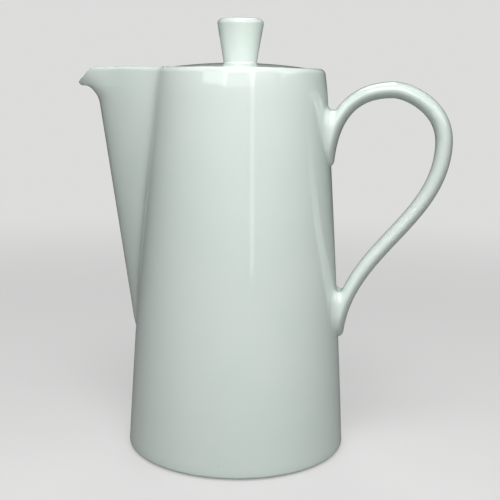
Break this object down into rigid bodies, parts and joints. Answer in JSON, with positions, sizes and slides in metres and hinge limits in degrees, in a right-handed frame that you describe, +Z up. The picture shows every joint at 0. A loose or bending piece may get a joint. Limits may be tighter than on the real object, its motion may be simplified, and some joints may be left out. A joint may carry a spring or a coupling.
{
  "type": "coffee pot",
  "caption": "Tall tapered porcelain coffee pot with an open V-shaped spout level with the rim, a looped strap handle and an inset domed lid with a flared knob.",
  "frame": {"origin": "centre of the foot ring on the table, on the pot's axis", "axes": "+Z up along the pot's axis, +X towards the handle, -X towards the spout, +Y to the left of the handle seen from above"},
  "size_m": [0.1956, 0.1156, 0.2252],
  "materials": {
    "glazed_porcelain": "clear glossy glaze over white porcelain, faintly green",
    "bare_porcelain": "unglazed matt white biscuit"
  },
  "bodies": {
    "pot": {"body_wall": "glazed_porcelain", "body_floor": "glazed_porcelain", "foot_ring": "bare_porcelain", "lid_seat": "glazed_porcelain", "spout": "glazed_porcelain", "handle": "glazed_porcelain"},
    "lid": {"lid_dome": "glazed_porcelain", "lid_flange": "glazed_porcelain", "lid_knob": "glazed_porcelain"}
  },
  "joints": [
    {"name": "lid_lift", "type": "slide", "parent": "pot", "child": "lid", "axis": [0, 0, 1], "range_m": [0, 0.06]}
  ]
}
